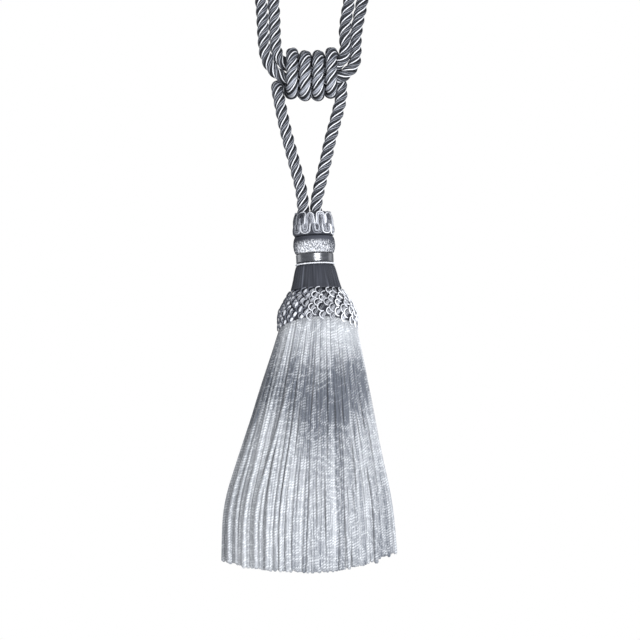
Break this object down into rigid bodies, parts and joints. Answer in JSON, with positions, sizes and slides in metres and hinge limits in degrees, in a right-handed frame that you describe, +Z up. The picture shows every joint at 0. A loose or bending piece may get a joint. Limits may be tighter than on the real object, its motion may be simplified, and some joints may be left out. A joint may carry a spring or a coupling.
{
  "type": "curtain tieback tassel",
  "caption": "Rope curtain tieback hanging from its end loops: a doubled twisted rope, a second rope wound round it in a barrel knot, and a key tassel with a netted collar and a bullion skirt.",
  "frame": {"origin": "where the wall hook bears, inside the top of the two end loops", "axes": "+Z up along the hanging tieback, -Y towards the viewer of its front, +X to that viewer's right"},
  "size_m": [0.1035, 0.0917, 0.5451],
  "materials": {
    "rope": "three-strand satin rope, slate grey, with a fine pale yarn laid in each groove",
    "ruff": "looped satin yarn in two tiers, mid grey with pale loops",
    "boucle": "thread wound over a roll, silver grey, nubbly",
    "satin": "dark slate satin threads, glossy",
    "neck_cord": "fine pale twisted cord",
    "net": "knotted satin netting, grey with pale highlights",
    "bullion": "fine twisted bullion cords, silver grey, soft sheen"
  },
  "bodies": {
    "root": {"embrace": "rope", "hanger": "rope", "cap_ruff": "ruff", "neck_roll": "boucle", "satin_band": "satin", "neck_cord": "neck_cord", "bell": "satin", "netted_collar": "net", "skirt": "bullion"}
  },
  "joints": []
}
